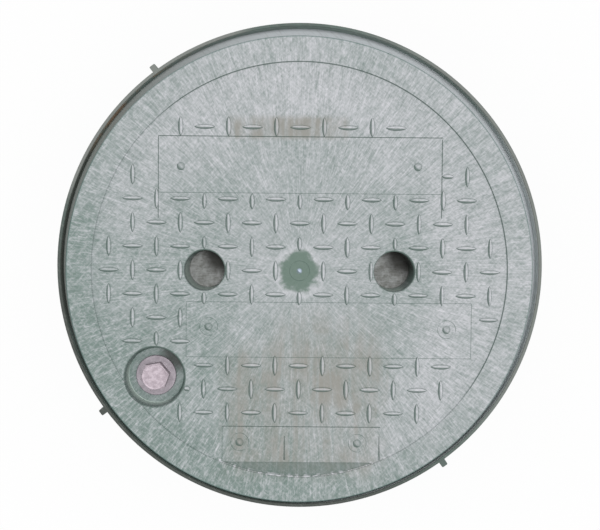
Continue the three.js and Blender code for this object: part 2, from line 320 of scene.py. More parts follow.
def build_sun_side():
    group, given, out = new_group("Sun side", [("Azimuth", "Float", SUN_AZIMUTH)], "Side")
    facing = add(group, "ShaderNodeTexCoord").outputs["Normal"]
    towards = add(group, "ShaderNodeCombineXYZ", {0: math_out(group, "COSINE", given["Azimuth"]),
                                                  1: math_out(group, "SINE", given["Azimuth"])}).outputs[0]
    facing_share = vector_out(group, "DOT_PRODUCT", facing, towards)
    group.links.new(ramp_out(group, facing_share, -0.8, 0.8), out)
    return group


RADIAL_STROKES = build_radial_strokes()
FIBRE_SCRATCHES = build_fibre_scratches()
BLOTCHES = build_blotches()
SOFT_BOX = build_soft_box()
SUN_SIDE = build_sun_side()
print("pattern groups", [g.name for g in (RADIAL_STROKES, FIBRE_SCRATCHES, BLOTCHES, SOFT_BOX, SUN_SIDE)])

# %% [markdown]
# ## Mesh helpers
# Round pieces are turned from a profile whose corners are softened by small arcs, because a
# moulded edge is never sharp. Pockets and holes are cut with booleans, and afterwards only real
# corners are marked sharp, so that curved walls shade smoothly. The normals are then weighted by
# face area: without that, the shading of a thin groove spreads over the wide flat faces beside it.

# %% Turned, extruded and cut meshes
ROUND_STEPS = 256
SHARP_ANGLE = math.radians(13)
ORIGIN = Vector((0, 0, 0))


def softened(corners, steps=4):
    """A profile of (radius, height, fillet) corners with each fillet drawn as an arc."""
    points = []
    for index, (radius, height, fillet) in enumerate(corners):
        here = Vector((radius, height))
        if fillet == 0:
            points.append(here)
            continue
        before = Vector(corners[index - 1][:2])
        after = Vector(corners[(index + 1) % len(corners)][:2])
        to_before = (before - here).normalized()
        to_after = (after - here).normalized()
        half = to_before.angle(to_after) / 2
        centre = here + (to_before + to_after).normalized() * fillet / math.sin(half)
        start = here + to_before * fillet / math.tan(half)
        end = here + to_after * fillet / math.tan(half)
        for step in range(steps + 1):
            chord = start.lerp(end, step / steps)
            points.append(centre + (chord - centre).normalized() * fillet)
    return points


def object_from(name, mesh):
    made = bpy.data.objects.new(name, mesh)
    scene.collection.objects.link(made)
    return made


def object_from_bmesh(name, made):
    bmesh.ops.recalc_face_normals(made, faces=made.faces)
    mesh = bpy.data.meshes.new(name)
    made.to_mesh(mesh)
    made.free()
    return object_from(name, mesh)


def turned(name, points, centre, steps=ROUND_STEPS):
    """A closed body from a profile turned about an upright axis through centre."""
    made = bmesh.new()
    rings = []
    for radius, height in points:
        if radius < 1e-7:
            rings.append([made.verts.new((centre.x, centre.y, height))] * steps)
            continue
        angles = [2 * math.pi * step / steps for step in range(steps)]
        places = [(centre.x + radius * math.cos(a), centre.y + radius * math.sin(a), height) for a in angles]
        rings.append([made.verts.new(place) for place in places])
    on_axis = points[0][0] < 1e-7
    outer_rings = rings[1:] if on_axis else rings[1:] + rings[:1]
    for inner, outer in zip(rings, outer_rings):
        for step in range(steps):
            after = (step + 1) % steps
            corners = dict.fromkeys([inner[step], inner[after], outer[after], outer[step]])
            if len(corners) > 2:
                made.faces.new(corners)
    return object_from_bmesh(name, made)


def upright_cylinder(name, radius, low, high, centre, steps=96):
    return turned(name, [(0, low), (radius, low), (radius, high), (0, high)], centre, steps)


def extruded(name, outline, low, high, centre=ORIGIN):
    """A closed body from an (x, y) outline between two heights."""
    made = bmesh.new()
    base = [made.verts.new((centre.x + x, centre.y + y, low)) for x, y in outline]
    top = [made.verts.new((centre.x + x, centre.y + y, high)) for x, y in outline]
    made.faces.new(base)
    made.faces.new(top)
    for index in range(len(outline)):
        after = (index + 1) % len(outline)
        made.faces.new((base[index], base[after], top[after], top[index]))
    return object_from_bmesh(name, made)


def block(name, size, centre, turn=0.0, pivot=ORIGIN):
    """A box of a given size whose centre is given in an axis system turned about pivot."""
    made = bmesh.new()
    bmesh.ops.create_cube(made, size=1.0)
    made.transform(Matrix.Translation(pivot) @ Matrix.Rotation(turn, 4, "Z")
                   @ Matrix.Translation(centre) @ Matrix.Diagonal((*size, 1)))
    return object_from_bmesh(name, made)


def plain_copy(piece):
    """The piece's mesh with all its modifiers worked in."""
    bpy.context.view_layer.update()
    return bpy.data.meshes.new_from_object(piece.evaluated_get(bpy.context.evaluated_depsgraph_get()))


def boolean(target, tools, operation):
    """Joins or cuts target with each tool in turn; the tools are used up."""
    for tool in tools:
        step = target.modifiers.new("boolean", "BOOLEAN")
        step.object = tool
        step.operation = operation
        step.solver = "MANIFOLD"
    shape = plain_copy(target)
    target.modifiers.clear()
    old = target.data
    target.data = shape
    bpy.data.meshes.remove(old)
    for tool in tools:
        bpy.data.objects.remove(tool)
    return target


def smooth(piece, angle=SHARP_ANGLE):
    """Smooth shading with sharp corners, weighted so that large flat faces stay flat."""
    piece.data.shade_smooth()
    piece.data.set_sharp_from_angle(angle=angle)
    weighted = piece.modifiers.new("weighted", "WEIGHTED_NORMAL")
    weighted.weight = 80
    weighted.keep_sharp = True
    shape = plain_copy(piece)
    piece.modifiers.clear()
    old = piece.data
    piece.data = shape
    bpy.data.meshes.remove(old)
    return piece


def hand_over(piece, body, material, replaced=()):
    """Gives a piece its finish, the body it rides on and the mechanical nodes it stands for."""
    piece.data.materials.clear()
    piece.data.materials.append(material)
    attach(piece, body)
    if replaced:
        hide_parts(*replaced)
    print(piece.name, len(piece.data.polygons), "faces on", body)


# %% [markdown]
# ## Sizes of the moulding
# Sizes of the lid and the ring that the boxes don't give, the same as in the mechanical model.
# Heights are counted down from the lid's top, and the seat's from the washer. OVERLAP is how far
# bodies that are joined run into each other.

# %% Named sizes
BAND_WIDTH = 14.1 * MM
FIELD_RADIUS = COVER_RADIUS - BAND_WIDTH
FIELD_TOP = COVER_TOP - 1.0 * MM
SHEET_BOTTOM = COVER_TOP - 6 * MM
UNDERSIDE_BOTTOM = COVER_TOP - 24 * MM
LEDGE_TOP = COVER_TOP - 8 * MM
LEDGE_BOTTOM = LEDGE_TOP - 4 * MM
RIM_WALL = 1.8 * MM
RING_BORE = RING_RADIUS - RIM_WALL
LOWER_BORE = RING_RADIUS - 3 * MM
LEDGE_BORE = RING_BORE - 16.3 * MM
BEAD_WIDTH = 7 * MM
BEAD_HEIGHT = 5 * MM
SKIRT_RADIUS = LEDGE_BORE - 4.5 * MM
SKIRT_WALL = 3.5 * MM
RIB_WALL = 3 * MM
RING_RIB_RADIUS = 82 * MM
HUB_RADIUS = 13 * MM
HOLE_OFFSET = 52.6 * MM
HOLE_RADIUS = 11.15 * MM
HOLE_FLOOR = COVER_TOP - 25.4 * MM
CUP_WALL = 3 * MM
SEAT_RADIUS = 16.65 * MM
SEAT_FLOOR = washer_low.z
SEAT_UNDER = SEAT_FLOOR - 4 * MM
BOLT_HOLE_RADIUS = 5.56 * MM
LIP = 0.7 * MM
OVERLAP = 0.4 * MM
print("field radius", round(FIELD_RADIUS, 5), "ring bore", round(RING_BORE, 5))

# %% [markdown]
# ## Cover plastic
# Sun turns the deep green of this plastic to a chalky grey. The colour is built in layers: a
# large-scale tone that is palest towards the sun's side, pale and dark strokes and fibres,
# grey-brown dust where it has settled, an unfaded patch round the gate with a painted highlight on
# the gate mark, worn pale crests on the relief with deep green at their feet as dirt and painted
# shade, painted shade on slopes that face away from the sun and on the lid's edge, and in the
# pockets soil on the cup floors, painted shade low down, painted light on walls that face the sun
# and a painted shadow on one side. The first layer makes a colour; each next one takes it and
# gives it back changed.

# %% Colours and material shell


def srgb(red, green, blue):
    """A colour written as 0 to 255 screen values, as the linear values that shaders use."""
    channels = []
    for value in (red / 255, green / 255, blue / 255):
        channels.append(value / 12.92 if value <= 0.04045 else ((value + 0.055) / 1.055) ** 2.4)
    return (*channels, 1.0)


def new_material(name, roughness, metallic=0.0):
    material = bpy.data.materials.new(name)
    material.use_nodes = True
    tree = material.node_tree
    tree.nodes.clear()
    shader = add(tree, "ShaderNodeBsdfPrincipled", {"Roughness": roughness, "Metallic": metallic})
    add(tree, "ShaderNodeOutputMaterial", {0: shader.outputs[0]})
    return material, tree, shader


FADED_DARK = srgb(124, 141, 136)
FADED_PALE = srgb(186, 189, 192)
DEEP_GREEN = srgb(74, 96, 88)
CHALK = srgb(224, 223, 229)
SCUFF_DARK = srgb(98, 117, 110)
GREY_DUST = srgb(148, 146, 139)
SHADE_GREEN = srgb(116, 138, 131)
SUNLIT_WALL_PAINT = srgb(206, 220, 212)
EDGE_SHADE_TEAL = srgb(96, 122, 118)
CUP_PALE = srgb(178, 178, 177)
CUP_SOIL = srgb(126, 124, 119)
POCKET_SHADOW = srgb(46, 45, 41)
GATE_GREEN = srgb(98, 120, 108)
GATE_HIGHLIGHT = srgb(205, 218, 240)

# The painted shadow on the upper-right side of each pocket: middle, reach and share.
POCKET_SHADOW_PLACES = ((-HOLE_OFFSET + 7 * MM, 7 * MM, 13 * MM, 0.9), (HOLE_OFFSET + 7 * MM, 7 * MM, 13 * MM, 0.9),
               (BOLT_FROM_COVER.x + 12 * MM, BOLT_FROM_COVER.y + 12 * MM, 13 * MM, 0.8))

# %% Layers of the cover's colour


def flat_radius(tree, centred):
    parts = add(tree, "ShaderNodeSeparateXYZ", {0: centred}).outputs
    flat = add(tree, "ShaderNodeCombineXYZ", {0: parts[0], 1: parts[1]}).outputs[0]
    return vector_out(tree, "LENGTH", flat), parts[2]


def faded_base(tree, centred, radius):
    """Large-scale tone: palest towards the sun's side at the upper right and on the outer field, deepest at
    the lower left.
    """
    sunward = vector_out(tree, "DOT_PRODUCT", centred, (math.cos(SUN_AZIMUTH), math.sin(SUN_AZIMUTH), 0))
    tilt = ramp_out(tree, sunward, -1.05 * COVER_RADIUS, 0.3 * COVER_RADIUS)
    outer_field = ramp_out(tree, radius, 0.5 * COVER_RADIUS, 0.7 * COVER_RADIUS)
    middle = ramp_out(tree, radius, 0.42 * COVER_RADIUS, 0.2 * COVER_RADIUS)
    band = ramp_out(tree, radius, FIELD_RADIUS - 1 * MM, FIELD_RADIUS + 1 * MM)
    fade = share_of(tree, tilt, 0.46)
    fade = math_out(tree, "ADD", fade, share_of(tree, math_out(tree, "MULTIPLY", outer_field, tilt), 0.36))
    fade = math_out(tree, "ADD", fade, share_of(tree, middle, 0.14))
    fade = math_out(tree, "SUBTRACT", fade, share_of(tree, band, 0.2))
    far_side = ramp_out(tree, sunward, -0.8 * COVER_RADIUS, -0.97 * COVER_RADIUS)
    fade = math_out(tree, "SUBTRACT", fade, share_of(tree, far_side, 0.3))
    for per_metre, amount in ((24.0, 0.26), (90.0, 0.22), (240.0, 0.18)):
        stain = place_group(tree, BLOTCHES,
                            {"Vector": centred, "Per metre": per_metre, "Low": 0.32, "High": 0.68})
        fade = math_out(tree, "ADD", fade, share_of(tree, stain, amount))
    fade = math_out(tree, "SUBTRACT", fade, 0.25, clamp=True)
    return mix_out(tree, fade, FADED_DARK, FADED_PALE)


def stroked(tree, centred, colour):
    """Radial strokes of two widths and crossing fibres, pale and dark."""
    fine = place_group(tree, RADIAL_STROKES, {"Vector": centred})
    wide = place_group(tree, RADIAL_STROKES,
                       {"Vector": centred, "Round per radian": 55.0, "Outwards per metre": 75.0})
    layers = [(fine, 0.42), (wide, 0.26)]
    for turn in (0.7, 2.3):
        layers.append((place_group(tree, FIBRE_SCRATCHES, {"Vector": centred, "Turn": turn}), 0.19))
    grain = add(tree, "ShaderNodeTexNoise", {"Vector": centred, "Scale": 650.0, "Detail": 2.0}).outputs[0]
    layers.append((grain, 0.22))
    for pattern, amount in layers:
        colour = mix_out(tree, share_of(tree, ramp_out(tree, pattern, 0.5, 0.72), amount), colour, CHALK)
        colour = mix_out(tree, share_of(tree, ramp_out(tree, pattern, 0.5, 0.28), amount), colour, SCUFF_DARK)
    return colour, fine


def dusted(tree, centred, radius, colour):
    """Grey-brown dust above the name plate and over the lower plate, pale dashes along the recess step at the
    bottom.
    """
    streak = place_group(tree, FIBRE_SCRATCHES,
                         {"Vector": centred, "Turn": math.pi / 2, "Across per metre": 260.0,
                          "Along per metre": 26.0})
    streaks = ramp_out(tree, streak, 0.3, 0.66, 0.25, 1.0)
    clumps = place_group(tree, BLOTCHES, {"Vector": centred, "Per metre": 60.0})
    clump_share = ramp_out(tree, clumps, 0, 1, 0.5, 1.1)
    patches = (((-7 * MM, 79 * MM, 0), (31 * MM, 4 * MM, 1), 4 * MM, 0.8),
               ((2 * MM, -78 * MM, 0), (34 * MM, 26 * MM, 1), 18 * MM, 0.7),
               ((16 * MM, -50 * MM, 0), (20 * MM, 12 * MM, 1), 24 * MM, 0.5))
    for middle, half, softness, amount in patches:
        inside = place_group(tree, SOFT_BOX, {"Vector": centred, "Centre": middle, "Half size": half,
                                              "Softness": softness})
        dust = math_out(tree, "MULTIPLY", math_out(tree, "MULTIPLY", inside, streaks), clump_share)
        colour = mix_out(tree, share_of(tree, dust, amount), colour, GREY_DUST)
    place = add(tree, "ShaderNodeSeparateXYZ", {0: centred}).outputs
    pale_dashes = ramp_out(tree, place_group(tree, BLOTCHES, {"Vector": centred, "Per metre": 330.0}), 0.5, 0.9)
    at_bottom = ramp_out(tree, place[1], -0.86 * FIELD_RADIUS, -0.93 * FIELD_RADIUS)
    inner_side = ramp_out(tree, radius, FIELD_RADIUS - 1.8 * MM, FIELD_RADIUS - 1.1 * MM)
    outer_side = ramp_out(tree, radius, FIELD_RADIUS + 0.3 * MM, FIELD_RADIUS - 0.4 * MM)
    for limit in (at_bottom, inner_side, outer_side):
        pale_dashes = math_out(tree, "MULTIPLY", pale_dashes, limit)
    return mix_out(tree, share_of(tree, pale_dashes, 0.85), colour, CHALK)


def gate_patch(tree, centred, radius, colour):
    """Unfaded green round the gate, a scraped halo round that, and a painted highlight on the gate mark
    itself.
    """
    lobes = add(tree, "ShaderNodeTexNoise", {"Vector": centred, "Scale": 130.0, "Detail": 4.0,
                                             "Roughness": 0.6}).outputs[0]
    uneven = math_out(tree, "ADD", radius, math_out(tree, "MULTIPLY", lobes, -12 * MM))
    green = ramp_out(tree, uneven, 6.5 * MM, 3.0 * MM)
    halo = math_out(tree, "SUBTRACT", ramp_out(tree, uneven, 10.0 * MM, 6.0 * MM), green)
    colour = mix_out(tree, share_of(tree, halo, 0.35), colour, CHALK)
    colour = mix_out(tree, share_of(tree, green, 0.9), colour, GATE_GREEN)
    # Painted highlight: a bluish-white disc on the gate mark.
    return mix_out(tree, ramp_out(tree, radius, 1.6 * MM, 1.2 * MM), colour, GATE_HIGHLIGHT)


def relief_wear_and_shade(tree, radius, height, colour):
    """Pale crests; deep green at their feet as dirt and painted shade, and in grooves;
    painted shade on slopes that face away from the sun and as a teal line on the lid's edge.
    """
    side = place_group(tree, SUN_SIDE, {})
    in_field = ramp_out(tree, radius, FIELD_RADIUS - 1 * MM, FIELD_RADIUS - 2 * MM)
    crest = ramp_out(tree, height, FIELD_TOP + 0.45 * MM, FIELD_TOP + 0.75 * MM)
    crest = math_out(tree, "MULTIPLY", crest, in_field)
    colour = mix_out(tree, share_of(tree, crest, 0.34), colour, CHALK)
    # Deep green at the feet of the bars and dots: partly dirt, partly painted shade where they meet the
    # field.
    off_floor = ramp_out(tree, height, FIELD_TOP + 0.02 * MM, FIELD_TOP + 0.08 * MM)
    under_crest = ramp_out(tree, height, FIELD_TOP + 0.6 * MM, FIELD_TOP + 0.3 * MM)
    foot = math_out(tree, "MULTIPLY", math_out(tree, "MULTIPLY", off_floor, under_crest), in_field)
    colour = mix_out(tree, share_of(tree, foot, 0.45), colour, DEEP_GREEN)
    # Painted shade: deep green on slopes that face away from the sun.
    colour = mix_out(tree, share_of(tree, ramp_out(tree, side, 0.47, 0.33), 0.7), colour, DEEP_GREEN)
    near_top = ramp_out(tree, height, SEAT_FLOOR, SEAT_FLOOR + 1 * MM)
    sunken = ramp_out(tree, height, FIELD_TOP - 0.04 * MM, FIELD_TOP - 0.16 * MM)
    groove = math_out(tree, "MULTIPLY", sunken, near_top)
    colour = mix_out(tree, share_of(tree, groove, 0.5), colour, DEEP_GREEN)
    # Painted shade: a teal line along the lid's outer edge, next to the gap.
    rim = ramp_out(tree, radius, COVER_RADIUS - 1.0 * MM, COVER_RADIUS - 0.5 * MM)
    return mix_out(tree, share_of(tree, rim, 0.6), colour, EDGE_SHADE_TEAL)


def pocket_soil_and_shade(tree, centred, height, colour):
    """Painted shade low down, painted light on walls facing the sun, a grey scratched floor in the
    finger cups, and a painted shadow on the upper-right side of each pocket.
    """
    below = ramp_out(tree, height, SEAT_FLOOR + 0.6 * MM, FIELD_TOP - 1.5 * MM, 1.0, 0.0)
    # Painted shade: deep in the pockets and under the lid the plastic turns a shaded green.
    colour = mix_out(tree, share_of(tree, below, 0.3), colour, SHADE_GREEN)
    # Painted light: pocket walls that face the sun are painted pale.
    lit_wall = math_out(tree, "MULTIPLY", below, ramp_out(tree, place_group(tree, SUN_SIDE, {}), 0.6, 0.95))
    colour = mix_out(tree, share_of(tree, lit_wall, 0.75), colour, SUNLIT_WALL_PAINT)
    soil = place_group(tree, BLOTCHES, {"Vector": centred, "Per metre": 420.0, "Low": 0.3, "High": 0.7})
    cup_low = ramp_out(tree, height, HOLE_FLOOR + 0.4 * MM, HOLE_FLOOR + 5 * MM, 1.0, 0.0)
    floor_colour = mix_out(tree, soil, CUP_PALE, CUP_SOIL)
    scratch = place_group(tree, RADIAL_STROKES, {"Vector": centred})
    floor_colour = mix_out(tree, share_of(tree, ramp_out(tree, scratch, 0.5, 0.7), 0.35), floor_colour, CHALK)
    colour = mix_out(tree, share_of(tree, cup_low, 0.85), colour, floor_colour)
    flat = vector_out(tree, "MULTIPLY", centred, (1, 1, 0))
    # Painted shadow: dark on the upper-right side of each pocket, where its rim would shade it.
    for x, y, reach, amount in POCKET_SHADOW_PLACES:
        away = vector_out(tree, "LENGTH", vector_out(tree, "SUBTRACT", flat, (x, y, 0)))
        painted_shadow = math_out(tree, "MULTIPLY", ramp_out(tree, away, reach, 0.35 * reach), below)
        colour = mix_out(tree, share_of(tree, painted_shadow, amount), colour, POCKET_SHADOW)
    return colour


def cover_plastic():
    material, tree, shader = new_material("faded_cover_plastic", 0.78)
    where = add(tree, "ShaderNodeTexCoord").outputs["Object"]
    centred = add(tree, "ShaderNodeMapping", {"Vector": where, "Location": -COVER_CENTRE}).outputs[0]
    radius, height = flat_radius(tree, centred)
    colour = faded_base(tree, centred, radius)
    colour, strokes = stroked(tree, centred, colour)
    colour = dusted(tree, centred, radius, colour)
    colour = gate_patch(tree, centred, radius, colour)
    colour = relief_wear_and_shade(tree, radius, height, colour)
    colour = pocket_soil_and_shade(tree, centred, height, colour)
    tree.links.new(colour, shader.inputs["Base Color"])
    bump = add(tree, "ShaderNodeBump", {"Strength": 0.3, "Distance": 0.15 * MM, "Height": strokes})
    tree.links.new(bump.outputs[0], shader.inputs["Normal"])
    return material


COVER_PLASTIC = cover_plastic()
print(COVER_PLASTIC.name, len(COVER_PLASTIC.node_tree.nodes), "nodes")

# %% [markdown]
# ## The lid
# The body is one turned profile: a plain outer band, a field one millimetre lower, and a skirt
# below. Each corner of the profile is written with its own small radius. Ribs, two finger cups
# and the bolt cup are joined on, then the pockets are cut. Each cutter flares at its mouth, which
# leaves the small rounded lip of a moulded hole.

# %% Lid blank and ribs


def lid_blank():
    inner_skirt = SKIRT_RADIUS - SKIRT_WALL
    corners = [(0, SHEET_BOTTOM, 0), (inner_skirt, SHEET_BOTTOM, 0.8 * MM),
               (inner_skirt, UNDERSIDE_BOTTOM, 0.6 * MM), (SKIRT_RADIUS, UNDERSIDE_BOTTOM, 0.6 * MM),
               (SKIRT_RADIUS, LEDGE_TOP, 0.5 * MM), (COVER_RADIUS, LEDGE_TOP, 0.5 * MM),
               (COVER_RADIUS, COVER_TOP, 0.8 * MM), (FIELD_RADIUS + 0.1 * MM, COVER_TOP, 0.15 * MM),
               (FIELD_RADIUS - 0.3 * MM, FIELD_TOP, 0.12 * MM), (0, FIELD_TOP, 0)]
    return turned("cover_shell", softened(corners), COVER_CENTRE)


def lid_ribs():
    low, high = UNDERSIDE_BOTTOM, SHEET_BOTTOM + OVERLAP
    size = (2 * (SKIRT_RADIUS - OVERLAP), RIB_WALL, high - low)
    middle = Vector((0, 0, (low + high) / 2))
    ribs = [block("rib", size, middle, math.pi * index / 6, COVER_CENTRE) for index in range(6)]
    inner, outer = RING_RIB_RADIUS - RIB_WALL / 2, RING_RIB_RADIUS + RIB_WALL / 2
    section = [(inner, low), (outer, low), (outer, high), (inner, high)]
    ribs.append(turned("ring_rib", section, COVER_CENTRE, 128))
    ribs.append(upright_cylinder("hub", HUB_RADIUS, low, high, COVER_CENTRE))
    return ribs


# %% [markdown]
# ## Traces of mould inserts
# Three changeable plates leave fine outlines on the field. The plates are bare here, without
# lettering. Each has two small raised dots as locating marks, with a faint ring round them on the
# middle and the lower plate. The lower plate ends in a sliver of sunken field next to the band,
# and two tapered ticks are cut into that plate. The lines and rings are V-shaped grooves in the
# mesh, not bump.

# %% Plates, marks and ticks
# left, right, low and high edge of each plate, from the cover's centre
NAME_PLATE = (-78.3 * MM, 78.3 * MM, 42.8 * MM, 74.0 * MM)
MIDDLE_PLATE = (-62.7 * MM, 95.6 * MM, -48.3 * MM, -17.6 * MM)
LOWER_PLATE = (-42.4 * MM, 45.8 * MM, -106.8 * MM, -87.0 * MM)
LINE_WIDTH = 0.55 * MM
LINE_DEPTH = 0.3 * MM
FAINT_DEPTH = 0.09 * MM
MARK_PLACES = [(-65.8, 57.4), (65.0, 58.0), (-50.2, -31.3), (82.0, -32.1), (-32.6, -95.8), (33.0, -96.1)]
MARK_RADIUS = 5.0 * MM
DOT_RADIUS = 2.3 * MM
DOT_HEIGHT = 0.55 * MM
SLIVER_DROP = 0.45 * MM
GATE_RADIUS = 1.4 * MM
GATE_RING_RADIUS = 5.5 * MM
# x and upper end of each tick, and half its width at the tip and at the foot
TICK_TOPS = ((-7.6 * MM, -92.2 * MM), (45.2 * MM, -91.8 * MM))
TICK_LOW = -105.6 * MM
TICK_TIP = 0.15 * MM
TICK_FOOT = 0.55 * MM
TICK_DEPTH = 0.5 * MM
print(len(MARK_PLACES), "locating marks,", len(TICK_TOPS), "ticks")


def line_cutter(start, end, width, depth):
    """A V-shaped groove cutter from start to end, both (x, y) from the cover's centre."""
    begin, finish = Vector((*start, 0)), Vector((*end, 0))
    along = (finish - begin).normalized()
    aside = Vector((-along.y, along.x, 0)) * width / 2
    made = bmesh.new()
    sections = []
    for point in (begin, finish):
        base = COVER_CENTRE + point
        corners = (aside * 1.4 + Vector((0, 0, FIELD_TOP + 0.4 * depth)), Vector((0, 0, FIELD_TOP - depth)),
                   aside * -1.4 + Vector((0, 0, FIELD_TOP + 0.4 * depth)))
        sections.append([made.verts.new(base + corner) for corner in corners])
    first, last = sections
    made.faces.new(first)
    made.faces.new(last)
    for index in range(3):
        after = (index + 1) % 3
        made.faces.new((first[index], first[after], last[after], last[index]))
    return object_from_bmesh("line", made)


def plate_cutters():
    low_x, high_x, low_y, high_y = NAME_PLATE
    lines = [((low_x, high_y), (high_x, high_y), LINE_DEPTH),
             ((low_x, low_y - 14 * MM), (low_x, high_y), LINE_DEPTH),
             ((high_x, low_y - 13 * MM), (high_x, high_y - 1 * MM), LINE_DEPTH),
             ((low_x, low_y), (high_x, low_y), FAINT_DEPTH)]
    low_x, high_x, low_y, high_y = MIDDLE_PLATE
    lines += [((low_x, high_y), (high_x, high_y), FAINT_DEPTH),
              ((low_x, low_y), (high_x, low_y), FAINT_DEPTH),
              ((low_x, low_y), (low_x, high_y), FAINT_DEPTH),
              ((high_x, low_y), (high_x, high_y), FAINT_DEPTH)]
    low_x, high_x, low_y, high_y = LOWER_PLATE
    lines += [((low_x, high_y), (high_x, high_y), LINE_DEPTH), ((low_x, low_y), (low_x, high_y), FAINT_DEPTH)]
    return [line_cutter(start, end, LINE_WIDTH, depth) for start, end, depth in lines]


def sliver_cutter():
    """The sunken sliver of the field between the lower plate and the band."""
    low_y = LOWER_PLATE[2]
    reach = FIELD_RADIUS - 0.6 * MM
    half_angle = math.acos(-low_y / reach)
    outline = []
    for step in range(33):
        angle = -math.pi / 2 - half_angle + 2 * half_angle * step / 32
        outline.append((reach * math.cos(angle), reach * math.sin(angle)))
    return extruded("sliver", outline, FIELD_TOP - SLIVER_DROP, FIELD_TOP + 0.3 * MM, COVER_CENTRE)


def tick_cutters():
    """Two tapered upright ticks on the lower plate."""
    ticks = []
    for x, top in TICK_TOPS:
        outline = [(x - TICK_TIP, top), (x + TICK_TIP, top),
                   (x + TICK_FOOT, TICK_LOW), (x - TICK_FOOT, TICK_LOW)]
        ticks.append(extruded("tick", outline, FIELD_TOP - TICK_DEPTH, FIELD_TOP + 0.3 * MM, COVER_CENTRE))
    return ticks


def ring_groove(centre, radius, depth):
    half = LINE_WIDTH / 2
    points = [(radius - 1.4 * half, FIELD_TOP + 0.4 * depth), (radius, FIELD_TOP - depth),
              (radius + 1.4 * half, FIELD_TOP + 0.4 * depth)]
    return turned("groove", points, centre, 64)


def dome(centre, radius, height, base):
    """A low dome with a short root under it, so that it joins the face it stands on."""
    points = [(0, base - OVERLAP), (radius, base - OVERLAP)]
    for step in range(9):
        angle = math.pi / 2 * step / 8
        points.append((radius * math.cos(angle), base + height * math.sin(angle)))
    points[-1] = (0, base + height)
    return turned("dome", points, centre, 40)


def insert_traces(lid):
    marks = [COVER_CENTRE + Vector((x, y, 0)) * MM for x, y in MARK_PLACES]
    cutters = plate_cutters() + tick_cutters() + [sliver_cutter()]
    cutters += [ring_groove(mark, MARK_RADIUS, FAINT_DEPTH) for mark in marks[2:]]
    cutters.append(ring_groove(COVER_CENTRE, GATE_RING_RADIUS, FAINT_DEPTH))
    boolean(lid, cutters, "DIFFERENCE")
    domes = [dome(mark, DOT_RADIUS, DOT_HEIGHT, FIELD_TOP) for mark in marks]
    domes.append(dome(COVER_CENTRE, GATE_RADIUS, 0.5 * MM, FIELD_TOP))
    boolean(lid, domes, "UNION")


# %% Lid body


def pocket_cutter(name, radius, floor, centre, draft=0.0, lip=LIP):
    """A round pocket: a filleted floor, walls with a little draft, and a flared mouth."""
    mouth = FIELD_TOP
    corners = [(0, floor, 0), (radius - draft, floor, 0.6 * MM), (radius, mouth - lip, 0),
               (radius + 0.3 * lip, mouth - 0.3 * lip, 0), (radius + lip, mouth, 0),
               (radius + lip, mouth + 0.4 * MM, 0), (radius + 0.2 * lip, mouth + 0.4 * MM, 0),
               (radius + 0.2 * lip, mouth + 2 * MM, 0), (0, mouth + 2 * MM, 0)]
    return turned(name, softened(corners), centre, 96)


def build_lid():
    lid = boolean(lid_blank(), lid_ribs(), "UNION")
    holes = [COVER_CENTRE + Vector((side * HOLE_OFFSET, 0, 0)) for side in (-1, 1)]
    cup_top = SHEET_BOTTOM + OVERLAP
    cups = [upright_cylinder("cup", HOLE_RADIUS + CUP_WALL, HOLE_FLOOR - CUP_WALL, cup_top, hole)
            for hole in holes]
    cups.append(upright_cylinder("bolt_cup", SEAT_RADIUS + CUP_WALL, UNDERSIDE_BOTTOM, cup_top, BOLT_AXIS))
    boolean(lid, cups, "UNION")
    cutters = [pocket_cutter("hole", HOLE_RADIUS, HOLE_FLOOR, hole, draft=0.5 * MM) for hole in holes]
    cutters.append(pocket_cutter("seat", SEAT_RADIUS, SEAT_FLOOR, BOLT_AXIS, draft=1.0 * MM, lip=0.9 * MM))
    cutters.append(upright_cylinder("under_seat", SEAT_RADIUS, UNDERSIDE_BOTTOM - OVERLAP, SEAT_UNDER,
                                    BOLT_AXIS))
    cutters.append(upright_cylinder("bolt_hole", BOLT_HOLE_RADIUS, SEAT_UNDER - OVERLAP, SEAT_FLOOR + OVERLAP,
                                    BOLT_AXIS, 48))
    boolean(lid, cutters, "DIFFERENCE")
    insert_traces(lid)
    return smooth(lid)


lid = build_lid()
hand_over(lid, "cover", COVER_PLASTIC, ["cover"])

# %% [markdown]
# ## The tread
# Small bars stand in a chequered grid, level and upright by turns, and stop where the field is
# taken by a plate, a hole or the gate. One bar is modelled; Geometry Nodes put a copy on every
# point of the grid, with a little variation as a worn mould gives. A bar next to an obstacle is
# shortened, so each point carries its own length and turn as attributes.

# %% Where the bars stand
PITCH = 13.2 * MM
BAR_LENGTH = 11.4 * MM
BAR_WIDTH = 3.2 * MM
BAR_HEIGHT = 0.98 * MM
BAR_ROOT = 0.3 * MM
SHORTEST_BAR = 2.5 * MM
GATE_CLEAR = 11.0 * MM
MIDDLE_ROW = 6
# first and last column of each run of bars, for each row counted down from the top
TREAD_ROWS = {0: [(-5, 4)], 2: [(-7, -7), (6, 7)], 3: [(-7, 7)], 4: [(-7, 7)], 5: [(-8, 8)], 6: [(-8, 8)],
              7: [(-8, 8)], 8: [(-7, -5), (8, 8)], 9: [(-7, -5)], 10: [(-4, 6)], 11: [(-5, 6)], 12: [(-5, 5)]}


def field_is_free(x, y):
    if math.hypot(x, y) > FIELD_RADIUS - 1.2 * MM or math.hypot(x, y) < GATE_CLEAR:
        return False
    if math.hypot(x - BOLT_FROM_COVER.x, y - BOLT_FROM_COVER.y) < SEAT_RADIUS + LIP:
        return False
    if math.hypot(abs(x) - HOLE_OFFSET, y) < HOLE_RADIUS + LIP:
        return False
    low_x, high_x, low_y, high_y = NAME_PLATE
    return not (low_x < x < high_x and low_y < y < high_y)


